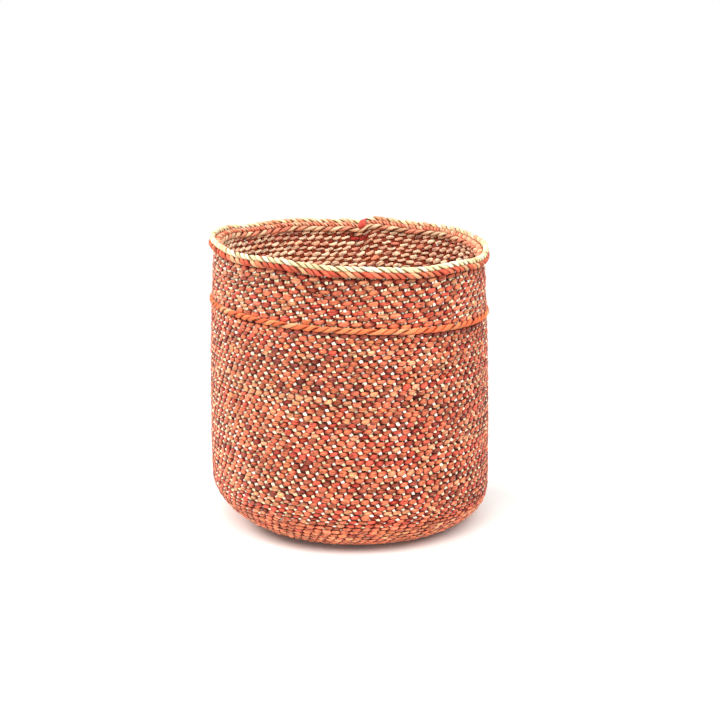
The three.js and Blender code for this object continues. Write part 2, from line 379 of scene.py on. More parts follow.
def new_piece(name, runs, material, nodes=()):
    """One mesh object from runs of tubes, which rides on the body and stands for CAD nodes."""
    loops, sizes, places, first, cells = [], [], [], 0, 0
    for run in runs:
        run_loops, run_sizes, run_places = tubes(run["points"], run["closed"])
        loops.append(run_loops + first)
        sizes.append(run_sizes)
        places.append(run_places + [cells, 0, 0])
        first += run["points"].size // 3
        cells = int(places[-1][:, 0].max()) + 1
    sizes = np.concatenate(sizes)
    mesh = bpy.data.meshes.new(name)
    mesh.vertices.add(first)
    mesh.vertices.foreach_set("co", np.concatenate([run["points"].reshape(-1) for run in runs]))
    mesh.loops.add(int(sizes.sum()))
    mesh.loops.foreach_set("vertex_index", np.concatenate(loops).astype(np.int32))
    mesh.polygons.add(len(sizes))
    mesh.polygons.foreach_set("loop_start", (np.cumsum(sizes) - sizes).astype(np.int32))
    mesh.polygons.foreach_set("use_smooth", np.ones(len(sizes), bool))
    mesh.update(calc_edges=True)
    mesh.validate()
    for title, kind, field in (
        ("dye", "FLOAT_COLOR", "color"),
        ("grain", "FLOAT_VECTOR", "vector"),
        ("painted_shade", "FLOAT", "value"),
    ):
        layer = mesh.attributes.new(title, kind, "POINT")
        values = np.concatenate([run[title].reshape(-1) for run in runs])
        layer.data.foreach_set(field, values.astype(np.float32))
    layout = mesh.uv_layers.new(name=MAP_NAME)
    uv = laid_out(np.concatenate(places), runs[0]["points"])
    layout.uv.foreach_set("vector", uv.reshape(-1).astype(np.float32))
    mesh.materials.append(material)
    piece = new_object(name, mesh)
    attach(piece, BODY)
    if nodes:
        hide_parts(*nodes)


def section(corners, sharpness, shift=0.0):
    """Corners of a rounded section: (|cos|, |sin|)^sharpness with their signs, at even angles."""
    angle = (np.arange(corners) + shift) * FULL_TURN / corners
    return tuple(np.sign(part) * np.abs(part) ** sharpness for part in (np.cos(angle), np.sin(angle)))


# Dyes

# How often each dye shows, in the order of DYES, from a height upwards
DYE_SHARES = [
    (0 * MM, (3, 5, 3, 0.4, 2, 0)),
    (20 * MM, (4, 4, 2.2, 1.0, 2, 0)),
    (28 * MM, (3, 1.4, 1.6, 2.4, 3, 1)),
    (40 * MM, (3, 1, 1.2, 2.2, 3.6, 1.2)),
    (58 * MM, (3.5, 1.1, 1.5, 2, 4.1, 1.0)),
    (82 * MM, (4, 1.2, 1.6, 1.8, 3.8, 0.7)),
    (112 * MM, (3.4, 1, 2.2, 1.2, 4, 0.7)),
    (142 * MM, (4, 1.4, 2.8, 1, 3, 0.2)),
    (172 * MM, (4, 1.6, 3, 1.2, 2.6, 0.1)),
    (184 * MM, (3, 1, 1.4, 3, 3.4, 0.2)),
    (202 * MM, (2, 0.6, 1.6, 0.8, 5, 1)),
]
# Dark stretches of one strand that stand out, as (height, first turn, last turn in degrees)
DARK_STRETCHES = [
    (168 * MM, -30, 80),
    (142 * MM, -42, -8),
    (126 * MM, -34, -6),
    (50 * MM, 0, 55),
    (46 * MM, -50, -20),
]
DARK_REACH = 3 * MM
SHORT_RUN = 3
LONG_RUN = 26
ODD_STITCH = 0.16
TONE_SPREAD = 0.14
HUE_SPREAD = 0.03
STEP_SPREAD = 0.07
# How far each inside stitch goes towards the pale tan, as a beta distribution: faded dye and painted light
FADED_AND_LIT_SHAPE = (1.8, 0.9)
# Red stitches inside, which tie the splice down: how far below the neck, and at which turn in degrees
SPLICE_RED = (164, 50, 45)
TIED_BELOW = 6 * MM
TIED_REACH = 2 * MM
TIED_TURN = 174
TIED_WIDTH = 4

DYE_VALUES = linear(list(DYES.values()))
MAROON = list(DYES).index("maroon")


def shares_at(height):
    """The share of each dye at a height, from the last entry that lies below it."""
    shares = [row for low, row in DYE_SHARES if low <= max(height, 0)][-1]
    return np.array(shares) / sum(shares)


def dye_run(stitches, shares):
    """The dyes of one strand round the basket: runs of SHORT_RUN to LONG_RUN stitches, with odd ones."""
    lengths = rng.integers(SHORT_RUN, LONG_RUN, size=stitches // SHORT_RUN + 1)
    run = np.repeat(rng.choice(len(DYES), size=len(lengths), p=shares), lengths)[:stitches]
    odd = rng.choice(len(DYES), size=stitches, p=shares)
    return np.where(rng.random(stitches) < ODD_STITCH, odd, np.roll(run, rng.integers(stitches)))


def strand_dyes(ways, start, stitches):
    """Linear colours [round, strand, stitch, rgb]: each strand's runs, with every stitch a little lighter,
    darker, redder or paler than the next. Stitches that show inside go paler, some more than others, as
    faded dye and as painted light on the inside, and those that tie the splice down are red."""
    heights = np.interp(ways, OUT_WAY, OUT_HEIGHT)
    dyes = np.array([[dye_run(stitches, shares_at(height)) for _ in range(2)] for height in heights])
    turns = np.degrees(start[:, None] + np.arange(stitches) * FULL_TURN / stitches)
    turns = (turns + 180) % 360 - 180
    for height, first, last in DARK_STRETCHES:
        nearest = np.argmin(np.abs(heights - height))
        if abs(heights[nearest] - height) < DARK_REACH:
            held = (turns[nearest] > first) & (turns[nearest] < last)
            dyes[nearest, 0, held] = MAROON
    color = DYE_VALUES[dyes]
    color = color * np.exp(rng.normal(0, TONE_SPREAD, dyes.shape))[..., None]
    color = color * np.exp(rng.normal(0, HUE_SPREAD, color.shape))
    # Painted light, partly faded dye: stitches that show inside go paler, towards the pale tan
    inside = ((np.arange(stitches) + np.arange(2)[:, None]) % 2 == 1)[..., None]
    faded_and_lit = rng.beta(*FADED_AND_LIT_SHAPE, dyes.shape)[..., None]
    color = np.where(inside, (1 - faded_and_lit) * color + faded_and_lit * linear(PALE_TAN), color)
    below_rim = abs(heights - neck_height + TIED_BELOW) < TIED_REACH
    at_splice = abs(turns - TIED_TURN) < TIED_WIDTH
    tied = below_rim[:, None, None] & at_splice[:, None]
    return np.where(tied[..., None] & inside, linear(SPLICE_RED), color)


# Weave

# A zone of rounds that are twined alike: the way to the middle of each, the ways of their edges, their
# numbers, the stitches in a round, and the lean, the stitch shape and the front stitches' extra length
Zone = namedtuple("Zone", "ways edges numbers stitches lean shape long_front")


def rounds_between(low, high, count, fade=0.0):
    """Middles of count rounds between two ways, and the way of each edge between them. The rounds get
    lower towards the high end: way = low + (high - low) (s + fade s (1 - s)), and no two are quite alike."""
    share = np.arange(count + 1) / count
    share[1:-1] += ROUND_UNEVEN / count * rng.normal(0, 1, count - 1)
    edges = low + (high - low) * (share + fade * share * (1 - share))
    return (edges[:-1] + edges[1:]) / 2, edges


def closed_share(ways):
    """How closed the weave is: 1 on the bottom and the heel, and 0 above the second of CLOSED_HEIGHTS."""
    low, high = CLOSED_HEIGHTS
    return 1 - smooth((np.interp(ways, OUT_WAY, OUT_HEIGHT) - low) / (high - low))


def wavering(ways, turn):
    """How far the rounds waver along the wall: three waves round it, which shift from round to round and
    die out towards the middle of the bottom."""
    phase = ways[:, None, None] / WAVER_WAY
    waves = np.sin(4 * turn + 3 * phase) + np.sin(7 * turn - 4 * phase + 1)
    waves = waves + 0.7 * np.sin(13 * turn + 9 * phase)
    return WAVER * waves * smooth((ways[:, None, None] - 0.5 * base_radius) / base_radius)


def twined_rounds(zone, reach_out=1.0):
    """Rounds of twining, as one run of closed tubes. With t counting stitches round the basket and
    a = pi (t - q) for strand q of 0 and 1, a strand shows outside where cos a > 0, inside where it is
    below 0, and crosses its partner between. With the shares tall, ends, slope and rise of the zone's
    stitch, and u = cos a + OVERLAP, which CLOSED_OVERLAP makes larger in the closed weave:
      depth  = middle of the wall - SWING sign(u) |u|^power, times reach_out on the outside
      way    = middle of the round + its height (g sin a + (slope + rise - g) sin^5 a)
      height = the round's height (ends + (tall - ends) smooth(|cos a| / blunt))
    Outside, power, g and blunt are OUTSIDE_POWER, slope and BLUNT. Inside they are INSIDE_POWER,
    INSIDE_SLOPE and INSIDE_BLUNT, and tall is the stitch's own inside. Steps lie closest at the crossings,
    and every other round is shifted by half a stitch. The further a strand lies below both faces, the
    more painted shade darkens its colour. No two stitches are quite alike."""
    count, stitches = len(zone.ways), zone.stitches
    closed = closed_share(zone.ways)[:, None, None]
    open_shape, closed_shape = np.array(zone.shape)[..., None, None, None]
    tall, ends, slope, rise, tall_inside = open_shape + (closed_shape - open_shape) * closed
    t = np.arange(stitches * STITCH_STEPS) / STITCH_STEPS
    t = t + STEP_WARP * np.sin(FULL_TURN * t) / FULL_TURN
    strand = np.arange(2)[:, None]
    swing = math.pi * (t - strand)
    cos, sin = np.cos(swing), np.sin(swing)
    oval, outside = np.abs(cos), cos > 0
    stitch = np.round(t).astype(int) % stitches
    jitter = rng.normal(0, 1, (count, 2, stitches, 5))[:, strand, stitch]
    swell = 1 + REED_UNEVEN * np.sin(5 * t * FULL_TURN / stitches + 3 * strand)
    reed = rng.normal(1, REED_UNEVEN, (count, 2, 1)) * swell
    room = np.diff(zone.edges)[:, None, None]
    fullness = smooth(oval / np.where(outside, BLUNT, INSIDE_BLUNT))
    share = ends + np.where(outside, tall - ends, tall_inside - ends) * fullness
    half = room / 2 * share * reed * np.clip(1 + TALL_UNEVEN * jitter[..., 0] * oval, *TALL_LIMITS)
    thick = CROSSING_THICKNESS + (STRAND_THICKNESS - CROSSING_THICKNESS) * oval
    reach = cos + OVERLAP + CLOSED_OVERLAP * closed
    power = np.where(reach > 0, OUTSIDE_POWER, INSIDE_POWER)
    reach = np.sign(reach) * np.abs(reach) ** power * np.where(reach > 0, reach_out, 1)
    depth = wall_thickness / 2 - reach * (SWING + DEPTH_UNEVEN * jitter[..., 1])
    start = zone.lean(zone.ways) + 0.5 * (zone.numbers % 2) * FULL_TURN / stitches
    turn = start[:, None, None] + (t + TURN_UNEVEN * jitter[..., 2] * oval) * FULL_TURN / stitches
    turn = uneven(turn, zone.long_front)
    gentle = np.where(outside, slope, INSIDE_SLOPE)
    climb = gentle * sin + (slope + rise - gentle) * sin**5
    climb = climb + (SLOPE_UNEVEN * jitter[..., 3] * sin + PLACE_UNEVEN * jitter[..., 4]) * oval
    way = zone.ways[:, None, None] + room * climb + wavering(zone.ways, turn)
    out, up = section(STRAND_CORNERS, REED_CORNERS)
    point_depth = depth[..., None] - out * (thick / 2)[..., None]
    point_way = way[..., None] + up * half[..., None]
    points = on_wall(point_way, turn[..., None] + 0 * point_way, point_depth)
    shape = (count * 2, len(t), STRAND_CORNERS)
    radius = np.interp(zone.ways, OUT_WAY, OUT_RADIUS)[:, None, None, None]
    grain = (
        (t * FULL_TURN / stitches)[:, None] * radius / MM,
        up * half[..., None] / MM,
        out * thick[..., None] / 2 / MM + GRAIN_SHIFT * rng.random((count, 2, 1, 1)),
    )
    # Painted shade: the deeper a point lies below both the outside and the inside, the darker its colour
    from_inside = INSIDE_SHADE_RATE * (wall_thickness - point_depth) - INSIDE_SHADE_FROM
    from_outside = SHADE_RATE * (point_depth - (SHADE_FROM + SHADE_CLOSED * closed[..., None]))
    below = np.minimum(from_outside, from_inside).reshape(shape)
    colors = strand_dyes(zone.ways, start, stitches)[:, strand, stitch].reshape(shape[:2] + (1, 3))
    colors = colors * np.exp(rng.normal(0, STEP_SPREAD, shape[:2]))[..., None, None]
    return tube_run(points.reshape(shape + (3,)), True, colors, grain, smooth(below / SHADE_DEPTH))


def radial_stakes(zone, width, reeds=1):
    """Flat stakes, two for each stitch, as one run of open tubes. A stake lies at a quarter of a stitch on
    either side of a stitch's middle, and each round squeezes it towards that middle. It bows out at
    every other edge between rounds, where it shows outside, and in at the others, less where the weave is
    closed. It keeps its pale colour where it shows in the open weave, and has painted shade elsewhere,
    lighter on its inward side. A stake can be a pair of narrower reeds side by side."""
    stakes = 2 * zone.stitches
    pitch = FULL_TURN / stakes
    places = np.empty(2 * len(zone.ways) + 1)
    places[0::2], places[1::2] = zone.edges, zone.ways
    step = np.arange(len(places))
    number = np.repeat(np.arange(stakes), reeds)[:, None]
    reed = np.tile(np.arange(reeds), stakes)[:, None] - (reeds - 1) / 2
    sign = np.where((zone.numbers[0] + step // 2 + number) % 2 == 0, 1, -1)
    at_edge = step % 2 == 0
    shape = (len(number), len(places))
    radius = np.interp(places, OUT_WAY, OUT_RADIUS)
    width = np.minimum(width, STAKE_FILL * pitch * radius / reeds)[None, :]
    width = width * rng.normal(1, STAKE_UNEVEN, (len(number), 1))
    width = width * np.clip(rng.normal(1, 1.2 * STAKE_UNEVEN, shape), *STAKE_WIDTHS)
    aside = (width + STAKE_GAP) * reed - np.where(at_edge, 0, sign) * STAKE_SQUEEZE
    turn = zone.lean(places)[None, :] + pitch * (number + 0.5) + aside / radius
    bow = STAKE_BOW * rng.normal(1, BOW_UNEVEN, shape) * (1 - BOW_CLOSED * closed_share(places))
    depth = wall_thickness / 2 - STAKE_OUTWARDS - bow * np.where(at_edge, sign, 0)
    out, side = section(5, 0.7, 0.5)
    point_turn = uneven(turn, zone.long_front)[..., None] - side * (width / 2 / radius)[..., None]
    point_depth = depth[..., None] - out * STAKE_THICKNESS / 2
    points = on_wall(places[None, :, None] + 0 * point_turn, point_turn, point_depth)
    color = linear(PALE_REEDS)[rng.integers(len(PALE_REEDS), size=len(number))][:, None, None]
    color = color * np.exp(rng.normal(0, STEP_SPREAD, shape))[..., None, None]
    # Painted shade on the stake wherever it doesn't show, lighter on its inward side
    color = color * np.where(out < 0, STAKE_INSIDE, 1.0)[:, None]
    shows = (at_edge & (sign > 0) & (closed_share(places) < rng.random(shape)))[..., None] & (out > 0)
    grain = (
        places[None, :, None] / MM,
        side * width[..., None] / 2 / MM,
        out * STAKE_THICKNESS / 2 / MM + GRAIN_SHIFT * rng.random((len(number), 1, 1)),
    )
    return tube_run(points, False, color, grain, np.where(shows, STAKE_LIGHT, STAKE_SHADE))


# Ropes

PLY_WIDTH = 0.7
PLY_LEAF = 0.1
PLY_UNEVEN = 0.05
PLY_TONES = 0.08
BEHIND_SHARE = 0.8


def laid_rope(ring, lays, direction, colors, face=0.0, plies=2, corners=12, steps=18, slack=1.0,
              behind=None):
    """A rope round the basket, as one run of closed tubes. ring is its inner radius, outer radius, low and
    high. Ply k turns about the middle of the ring's section by direction * lays * turn + k / plies of a
    full turn, with a slight waver, half way out from the middle. Its own section is an ellipse, half
    as thick as the rope across and PLY_WIDTH as wide along the rope's skin, and it swells by PLY_LEAF
    where it passes the face that shows, which is 0 for the outside and a quarter turn for the top. Each
    stretch from slit to slit has its own colour, which at the back is mostly one of those in behind, with
    painted shade towards the middle of the rope. The rope fills the share slack of the ring's section."""
    inner, outer, low, high = ring
    turn = np.arange(lays * steps) * FULL_TURN / (lays * steps)
    ply = np.arange(plies)[:, None]
    waver = 0.35 * np.sin(11 * turn + 2 * ply) + 0.25 * np.sin(23 * turn + 5)
    lay = direction * (lays * turn + waver) + FULL_TURN * ply / plies
    stretch = np.floor(direction * (lay - face) / FULL_TURN + plies + 0.5).astype(int) % lays
    swell = PLY_LEAF + PLY_UNEVEN * rng.normal(0, 1, (plies, lays))[ply, stretch]
    plump = (1 + swell * np.cos((lay - face) / 2) ** 2)[..., None]
    angle = np.arange(corners) * FULL_TURN / corners
    along = 0.5 + 0.5 * np.cos(angle) * plump
    across = PLY_WIDTH * np.sin(angle) * plump
    cos, sin = np.cos(lay)[..., None], np.sin(lay)[..., None]
    out = along * cos - across * sin
    up = along * sin + across * cos
    radius = (inner + outer) / 2 + slack * (outer - inner) / 2 * out
    height = (low + high) / 2 + slack * (high - low) / 2 * up
    points = by_hand(radius, uneven(turn, RIM_LONG_FRONT)[None, :, None] + 0 * radius, height)
    grain = (
        turn[None, :, None] * outer / MM,
        across * (high - low) / 2 / MM,
        along * (outer - inner) / 2 / MM + GRAIN_SHIFT * ply[..., None],
    )
    color = colors[rng.integers(len(colors), size=(plies, lays))]
    if behind is not None:
        at_back = BEHIND_SHARE * smooth(-1.5 * np.cos(FULL_TURN * np.arange(lays) / lays))
        others = behind[rng.integers(len(behind), size=(plies, lays))]
        color = np.where((rng.random((plies, lays)) < at_back)[..., None], others, color)
    color = color[ply, stretch]
    color = color * np.exp(rng.normal(0, PLY_TONES, (plies, lays, 1)))[ply, stretch]
    # Painted shade towards the middle of the rope, where the plies meet
    return tube_run(points, True, color[:, :, None], grain, np.clip(1.5 * (1 - np.hypot(out, up)), 0, 1))


# Finishes

PATCHES = ((0.2, 0.85, 0.85), 4.0)
FIBRES = ((0.13, 1.7, 1.7), 2.0)
NOISE_ROUGHNESS = 0.65
REED_GRAIN_AND_SHADE_SOCKETS = {
    "INPUT": {"Dye": "Color", "Grain": "Vector", "Painted_shade": "Float", "Shade Colour": "Color",
              "Patches": "Float", "Fibres": "Float"},
    "OUTPUT": {"Colour": "Color", "Roughness": "Float", "Height": "Float"},
}
ROUGHEST = 0.78
SMOOTHEST = 0.52
BUMP_STRENGTH = 0.6
REED_SPECULAR = 0.12
FUZZ_ROUGHNESS = 0.32
FUZZ_TINT = (1, 0.9, 0.82, 1)


def feed(tree, node, inputs):
    """Sets inputs of a node, by name or number, to plain values or to the outputs of other nodes."""
    for socket, value in inputs.items():
        if isinstance(value, bpy.types.NodeSocket):
            tree.links.new(value, node.inputs[socket])
        else:
            node.inputs[socket].default_value = value
    return node


def new_node(tree, kind, inputs, **settings):
    """A new shader node with its inputs, and with settings such as its operation."""
    node = tree.nodes.new(f"ShaderNode{kind}")
    for title, setting in settings.items():
        setattr(node, title, setting)
    return feed(tree, node, inputs)


def reed_grain_and_shade_group():
    """Shared grain of split reed: fine fibres along it, patches of lighter and darker dye, and painted shade
    in the hollows. It turns a dye and a place along the reed into a colour, a roughness and a height.
    The colour is dye (1 + patches share (2 patches - 1) + fibres share (2 fibres - 1)), and with the
    painted shade it goes towards that colour times the colour of the shade."""
    tree = bpy.data.node_groups.new("reed_grain_and_shade", "ShaderNodeTree")
    for in_out, sockets in REED_GRAIN_AND_SHADE_SOCKETS.items():
        for title, kind in sockets.items():
            tree.interface.new_socket(title, in_out=in_out, socket_type=f"NodeSocket{kind}")
    given = tree.nodes.new("NodeGroupInput").outputs
    noises = []
    for scale, detail in (PATCHES, FIBRES):
        place = new_node(tree, "Mapping", {"Vector": given["Grain"], "Scale": scale}).outputs["Vector"]
        settings = {"Vector": place, "Scale": 1.0, "Detail": detail, "Roughness": NOISE_ROUGHNESS}
        noises.append(new_node(tree, "TexNoise", settings).outputs["Fac"])
    patches, fibres = noises
    tone = 1.0
    for noise, share in ((patches, given["Patches"]), (fibres, given["Fibres"])):
        centred = new_node(tree, "Math", {0: noise, 1: 2.0, 2: -1.0}, operation="MULTIPLY_ADD").outputs[0]
        tone = new_node(tree, "Math", {0: centred, 1: share, 2: tone}, operation="MULTIPLY_ADD").outputs[0]
    toned = new_node(tree, "VectorMath", {0: given["Dye"], "Scale": tone}, operation="SCALE").outputs[0]
    # Painted shade: the toned dye times the colour of the shade, mixed in as far as the painted shade goes
    shade_colour = new_node(tree, "VectorMath", {0: toned, 1: given["Shade Colour"]}, operation="MULTIPLY").outputs[0]
    # Sockets 6, 7 and 2 of a Mix node are its two colours and the colour that comes out
    blend = new_node(tree, "Mix", {"Factor": given["Painted_shade"], 6: toned, 7: shade_colour}, data_type="RGBA").outputs[2]
    rough = new_node(tree, "MapRange", {"Value": fibres, "To Min": ROUGHEST, "To Max": SMOOTHEST})
    results = {"Colour": blend, "Roughness": rough.outputs["Result"], "Height": fibres}
    feed(tree, tree.nodes.new("NodeGroupOutput"), results)
    return tree


reed_grain_and_shade = reed_grain_and_shade_group()


def reed_finish(name, shade_colour, patches, fibres, relief=0.3 * MM, fuzz=0.0):
    """A finish of dry split reed, in the dye that each strand holds, with painted shade towards its shade
    colour in the hollows. fuzz is the weight of a sheen that makes the far sides paler."""
    material = bpy.data.materials.new(name)
    material.use_nodes = True
    tree = material.node_tree
    inputs = {"Shade Colour": (*shade_colour, 1), "Patches": patches, "Fibres": fibres}
    for title, output in (("dye", "Color"), ("grain", "Vector"), ("painted_shade", "Fac")):
        inputs[title.capitalize()] = new_node(tree, "Attribute", {}, attribute_name=title).outputs[output]
    grain = new_node(tree, "Group", inputs, node_tree=reed_grain_and_shade).outputs
    bump = new_node(tree, "Bump", {"Height": grain["Height"], "Strength": BUMP_STRENGTH, "Distance": relief})
    feed(tree, tree.nodes["Principled BSDF"], {
        "Base Color": grain["Colour"],
        "Roughness": grain["Roughness"],
        "Normal": bump.outputs["Normal"],
        "Specular IOR Level": REED_SPECULAR,
        "Sheen Weight": fuzz,
        "Sheen Roughness": FUZZ_ROUGHNESS,
        "Sheen Tint": FUZZ_TINT,
    })
    return material


# The first colour of each finish is the colour of its painted shade, in the hollows and gaps
dyed_weft = reed_finish("dyed_weft_reed", (0.24, 0.014, 0.004), 1.9, 1.2, relief=0.45 * MM, fuzz=0.5)
natural_stake = reed_finish("natural_stake_reed", (0.17, 0.034, 0.022), 0.1, 0.2)
ridge_reed = reed_finish("ridge_reed", (0.3, 0.13, 0.1), 0.4, 0.5)
rim_reed = reed_finish("rim_coral_reed", (0.2, 0.07, 0.05), 0.6, 0.6)
crest_reed = reed_finish("rim_pale_reed", (0.36, 0.22, 0.12), 0.15, 0.35)


# Rounds and stakes


def body_lean(way):
    """Turn of a stake below the ridge. It drifts with each round, by HEEL_LEAN of a stitch at the heel and
    by WALL_LEAN at the ridge: rounds (heel s + (wall - heel) s^2 / 2), with s from heel to ridge."""
    share = np.maximum(way - heel_way, 0) / (ridge_way - heel_way)
    drift = HEEL_LEAN * share + (WALL_LEAN - HEEL_LEAN) * share**2 / 2
    return (HEEL_ROUNDS + WALL_ROUNDS) * drift * FULL_TURN / BODY_STITCHES


def collar_lean(way):
    """Turn of a stake above the ridge."""
    rounds = COLLAR_ROUNDS * (way - ridge_way) / (neck_way - ridge_way)
    return COLLAR_LEAN * rounds * FULL_TURN / COLLAR_STITCHES


def straight(way):
    """Turn of a stake on the bottom: it doesn't lean."""
    return 0 * way


def weave_bands(name, count, low, high, zones):
    """Pieces name_1 to name_count, each with the rounds whose middles lie in its share of low to high."""
    for band in range(count):
        bottom = low + (high - low) * band / count
        top = low + (high - low) * (band + 1) / count
        runs = []
        for zone in zones:
            held = np.flatnonzero((zone.ways >= bottom) & (zone.ways < top))
            if len(held):
                edges = zone.edges[held[0]:held[-1] + 2]
                band_zone = zone._replace(ways=zone.ways[held], edges=edges, numbers=zone.numbers[held])
                runs.append(twined_rounds(band_zone))
        nodes = [f"{name}_outer_{band + 1}", f"{name}_inner_{band + 1}"]
        new_piece(f"{name}_{band + 1}", runs, dyed_weft, nodes)


base_rounds = sum(rounds for rounds, _ in BASE_ZONES)
base_ways, base_edges = rounds_between(lashing_radius, heel_way, base_rounds)
heel_ways, heel_edges = rounds_between(heel_way, wall_way, HEEL_ROUNDS)
wall_ways, wall_edges = rounds_between(wall_way, ridge_way - ridge_half, WALL_ROUNDS, WALL_FADE)
collar_ways, collar_edges = rounds_between(ridge_way + ridge_half, neck_way, COLLAR_ROUNDS)
heel_numbers = base_rounds + np.arange(HEEL_ROUNDS)
wall_numbers = base_rounds + HEEL_ROUNDS + np.arange(WALL_ROUNDS)
collar_numbers = np.arange(COLLAR_ROUNDS)

base_zones = []
first = 0
for zone_rounds, stitches in BASE_ZONES:
    numbers = np.arange(first, first + zone_rounds)
    zone_edges = base_edges[first:first + zone_rounds + 1]
    base_zones.append(Zone(base_ways[numbers], zone_edges, numbers, stitches, straight, BODY_STITCH, 0.0))
    first += zone_rounds
heel_zone = Zone(heel_ways, heel_edges, heel_numbers, BODY_STITCHES, body_lean, BODY_STITCH, BODY_LONG_FRONT)
wall_zone = heel_zone._replace(ways=wall_ways, edges=wall_edges, numbers=wall_numbers)
collar_zone = Zone(collar_ways, collar_edges, collar_numbers, COLLAR_STITCHES, collar_lean,
                   COLLAR_STITCH, COLLAR_LONG_FRONT)

weave_bands("base_weft", 2, lashing_radius, heel_way, base_zones)
weave_bands("heel_weft", 2, heel_way, wall_way, [heel_zone])
weave_bands("wall_weft", 4, wall_way, ridge_way - ridge_half, [wall_zone])
weave_bands("collar_weft", 2, ridge_way + ridge_half, neck_way, [collar_zone])

body_stakes = heel_zone._replace(
    ways=np.concatenate([heel_ways, wall_ways]),
    edges=np.concatenate([heel_edges, wall_edges[1:-1], [ridge_way]]),
)
collar_stakes = collar_zone._replace(
    edges=np.concatenate([[ridge_way], collar_edges[1:-1], [neck_way + STAKE_END]]),
)
stake_parts = {
    "base_stakes": [radial_stakes(zone, STAKE_WIDTH) for zone in base_zones],
    "stakes": [radial_stakes(body_stakes, STAKE_WIDTH)],
    "collar_stakes": [radial_stakes(collar_stakes, COLLAR_STAKE_WIDTH, 2)],
}
for name, runs in stake_parts.items():
    new_piece(name, runs, natural_stake, ["stake_frame"])


# Start of the bottom

CROSSING_REEDS = 7
CROSSING_PITCH = 3.2 * MM
CROSSING_STEPS = 24
CROSSING_INSET = 1.2 * MM
CROSSING_SWING = 0.9 * MM
CROSSING_HALF = 0.55 * MM
CROSSING_FILL = 0.44
# Where the lashing starts, as a share of its radius
LASHING_START = 0.45


def crossing_reeds():
    """Flat reeds laced over and under each other in the middle of the bottom, as runs of open tubes.
    A reed at a distance c from the axis has the length of the chord there, and its depth swings by
    cos(pi x / pitch) with x along it, the other way for each next reed."""
    reach = lashing_radius - CROSSING_INSET
    out, side = section(6, 0.7, 0.5)
    runs = []
    for cross in (0, 1):
        for number in range(CROSSING_REEDS):
            offset = (number - (CROSSING_REEDS - 1) / 2) * CROSSING_PITCH
            half = math.sqrt(reach**2 - offset**2)
            along = np.linspace(-half, half, CROSSING_STEPS)[:, None]
            swing = np.cos(math.pi * (along / CROSSING_PITCH + number + cross))
            level = wall_thickness / 2 - CROSSING_SWING * swing - out * CROSSING_HALF
            across = offset + (2 * cross - 1) * side * CROSSING_FILL * CROSSING_PITCH + 0 * along
            along = along + 0 * level
            x, y = (across, along) if cross else (along, across)
            points = np.stack([x + BASE_SHIFT, y, level], axis=-1)[None]
            color = linear(PALE_REEDS)[rng.integers(len(PALE_REEDS))]
            grain = (along / MM, side * CROSSING_PITCH / MM, level / MM + GRAIN_SHIFT * rng.random())
            runs.append(tube_run(points, False, color, grain, 0.0))
    return runs


rounds, stitches = LASHING_ZONE
start_ways, start_edges = rounds_between(LASHING_START * lashing_radius, lashing_radius, rounds)
start_zone = Zone(start_ways, start_edges, np.arange(rounds), stitches, straight, START_STITCH, 0.0)
new_piece("start_crossing", crossing_reeds(), natural_stake)
new_piece("start_lashing", [twined_rounds(start_zone)], dyed_weft,
          ["start_lashing_outer", "start_lashing_inner"])


# Ridge and rim

RIDGE_ORANGES = linear([(240, 132, 86), (238, 124, 78), (244, 148, 98), (230, 112, 72), (244, 170, 122)])
RIM_CORALS = linear([(222, 98, 74), (230, 116, 84), (212, 90, 68), (234, 138, 100), (226, 106, 78),
                     (228, 124, 92), (236, 178, 134), (186, 88, 66)])
CREST_CREAMS = linear([(246, 238, 198), (242, 230, 180), (248, 243, 214), (234, 212, 160), (240, 228, 176)])
CREST_CORALS = linear([(230, 162, 122), (236, 188, 146), (241, 208, 166), (238, 198, 154)])
# Tans of the lower strand inside the rim, lightened as painted light against the shade of the strand above it
LOWER_TANS = linear([(240, 200, 160), (226, 136, 108), (226, 174, 136), (238, 188, 148), (228, 150, 118)])
UPPER_CORALS = linear([(228, 146, 114), (232, 168, 132), (220, 120, 92), (236, 184, 146), (224, 132, 100)])
CORE_TANS = linear([(200, 150, 108), (206, 160, 120), (184, 128, 92)])
# How often the strands of each rope turn about each other in one round
RIDGE_LAYS = 42
RIM_LAYS = 57
UPPER_LAYS = 92
LOWER_LAYS = 38
CORE_LAYS = 24
# How the ropes lie against each other: what each adds to the (inner radius, outer radius, low, high) of
# its plain ring, and the two strands inside the rim to those of plain rings in their places
CREST_DROP = 1.8 * MM
RIDGE_FIT = (0, -0.3 * MM, -0.3 * MM, 0.3 * MM)
OUTER_FIT = (0, -1.0 * MM, 0, -1.0 * MM)
CREST_FIT = (1.8 * MM, -1.4 * MM, -CREST_DROP, -CREST_DROP - 0.4 * MM)
LOWER_FIT = (-0.2 * MM, 0.8 * MM, -1.6 * MM, 2.8 * MM)
UPPER_FIT = (1.3 * MM, 2.6 * MM, 2.0 * MM, 1.5 * MM)
# The splice: how wide all its turns are together, half its thickness, how far its turns overlap, how it
# lies on the rim, and how many times wider round the rim is than they are
SPLICE_TURNS = 2
SPLICE_WIDTH = 5.8 * MM
SPLICE_HALF = 0.7 * MM
SPLICE_LAP = 0.56
SPLICE_INSET = 0.6 * MM
SPLICE_LOW = 0.5 * MM
SPLICE_TOP = 0.1 * MM
SPLICE_TIMES = 20
SPLICE_DYE = (214, 84, 72)


